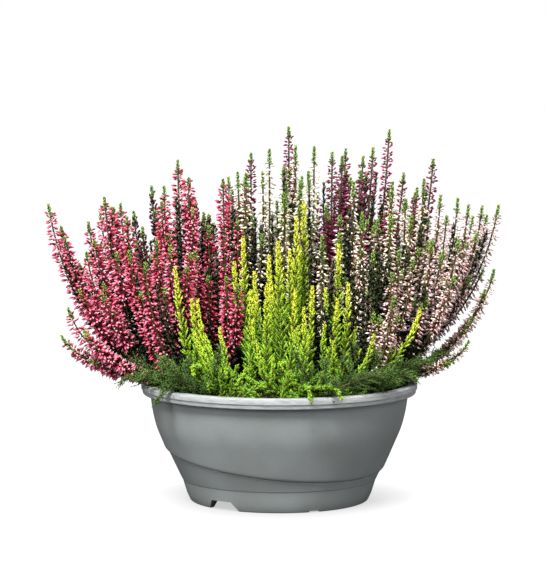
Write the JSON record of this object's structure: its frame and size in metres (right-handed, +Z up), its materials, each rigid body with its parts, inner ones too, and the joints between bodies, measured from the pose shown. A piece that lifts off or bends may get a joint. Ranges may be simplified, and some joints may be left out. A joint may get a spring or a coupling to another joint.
{
  "type": "potted heather",
  "caption": "Round grey bowl planter on a notched foot, filled with upright budding heathers in pink, white and purple and low lime-green foliage heathers.",
  "frame": {"origin": "centre of the bowl's foot, on the surface that it stands on", "axes": "+Z up; the front of the planting, with the low lime shoots, faces -Y; +X to the right of the front view"},
  "size_m": [0.4119, 0.2739, 0.336],
  "materials": {
    "planter": "satin moulded grey plastic",
    "compost": "loose dark brown potting compost",
    "pink_heather": "crimson pink buds on green stems",
    "maroon_heather": "dark maroon buds on dark green stems",
    "white_heather": "cream white buds on green stems",
    "purple_heather": "purple magenta buds on green stems",
    "rose_heather": "pale rose buds on olive stems",
    "lime_foliage": "yellow green scale leaves",
    "green_foliage": "dark green scale leaves"
  },
  "bodies": {
    "root": {"bowl": "planter", "compost": "compost", "green_spray_01": "green_foliage", "green_spray_02": "green_foliage", "green_spray_03": "green_foliage", "green_spray_04": "green_foliage", "green_spray_05": "green_foliage", "green_spray_06": "green_foliage", "lime_spray_01": "lime_foliage", "lime_spray_02": "lime_foliage", "lime_spray_03": "lime_foliage", "lime_spray_04": "lime_foliage", "lime_spray_05": "lime_foliage", "lime_spray_06": "lime_foliage", "lime_spray_07": "lime_foliage", "lime_spray_08": "lime_foliage", "lime_spray_09": "lime_foliage", "lime_spray_10": "lime_foliage", "lime_spray_11": "lime_foliage", "lime_spray_12": "lime_foliage", "maroon_spray_01": "maroon_heather", "maroon_spray_02": "maroon_heather", "maroon_spray_03": "maroon_heather", "pink_spray_01": "pink_heather", "pink_spray_02": "pink_heather", "pink_spray_03": "pink_heather", "pink_spray_04": "pink_heather", "pink_spray_05": "pink_heather", "pink_spray_06": "pink_heather", "pink_spray_07": "pink_heather", "pink_spray_08": "pink_heather", "pink_spray_09": "pink_heather", "pink_spray_10": "pink_heather", "pink_spray_11": "pink_heather", "purple_spray_01": "purple_heather", "purple_spray_02": "purple_heather", "purple_spray_03": "purple_heather", "purple_spray_04": "purple_heather", "purple_spray_05": "purple_heather", "purple_spray_06": "purple_heather", "purple_spray_07": "purple_heather", "purple_spray_08": "purple_heather", "rose_spray_01": "rose_heather", "rose_spray_02": "rose_heather", "rose_spray_03": "rose_heather", "rose_spray_04": "rose_heather", "rose_spray_05": "rose_heather", "rose_spray_06": "rose_heather", "rose_spray_07": "rose_heather", "rose_spray_08": "rose_heather", "white_spray_01": "white_heather", "white_spray_02": "white_heather", "white_spray_03": "white_heather", "white_spray_04": "white_heather", "white_spray_05": "white_heather", "white_spray_06": "white_heather", "white_spray_07": "white_heather", "white_spray_08": "white_heather", "white_spray_09": "white_heather", "white_spray_10": "white_heather"}
  },
  "joints": []
}
